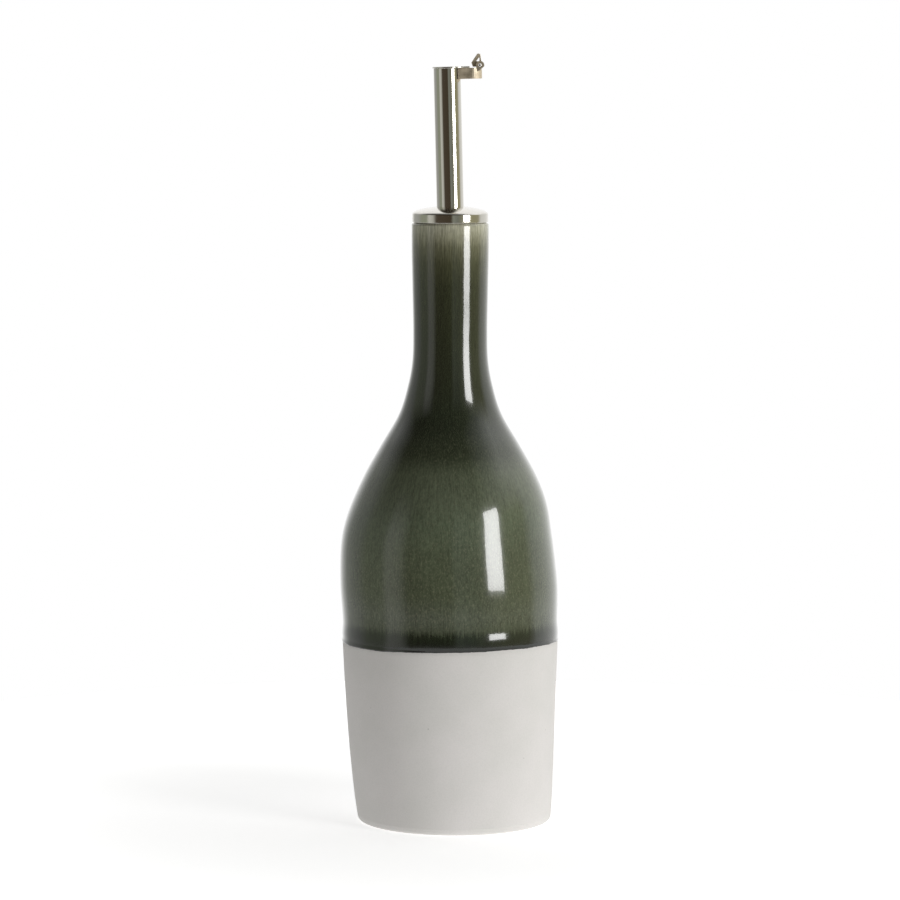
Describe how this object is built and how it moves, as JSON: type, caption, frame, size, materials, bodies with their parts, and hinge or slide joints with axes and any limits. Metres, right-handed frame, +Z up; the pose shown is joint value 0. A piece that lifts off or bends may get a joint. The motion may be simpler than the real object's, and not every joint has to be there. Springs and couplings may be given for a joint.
{
  "type": "oil cruet",
  "caption": "Hand-finished ceramic oil bottle, glazed above and bare below, with a steel pourer: domed cap, straight stem, short spout arm and a flap that tips open.",
  "frame": {"origin": "on the surface the bottle stands on, under the middle of the box", "axes": "+Z up the bottle, +X the way the spout arm points"},
  "size_m": [0.0764, 0.076, 0.2679],
  "materials": {
    "glazed_stoneware": "glossy mottled green glaze above, bare matt off-white clay below",
    "stainless_steel": "polished stainless steel"
  },
  "bodies": {
    "cruet": {"bottle": "glazed_stoneware", "pourer_cap": "stainless_steel", "stem_tube": "stainless_steel", "spout_arm": "stainless_steel", "top_plate": "stainless_steel", "hinge_pin": "stainless_steel"},
    "flap": {"flap": "stainless_steel"}
  },
  "joints": [
    {"name": "flap_hinge", "type": "hinge", "parent": "cruet", "child": "flap", "pos_m": [0.01069, 0, 0.26385], "axis": [0, 1, 0], "range_deg": [0, 100]}
  ]
}
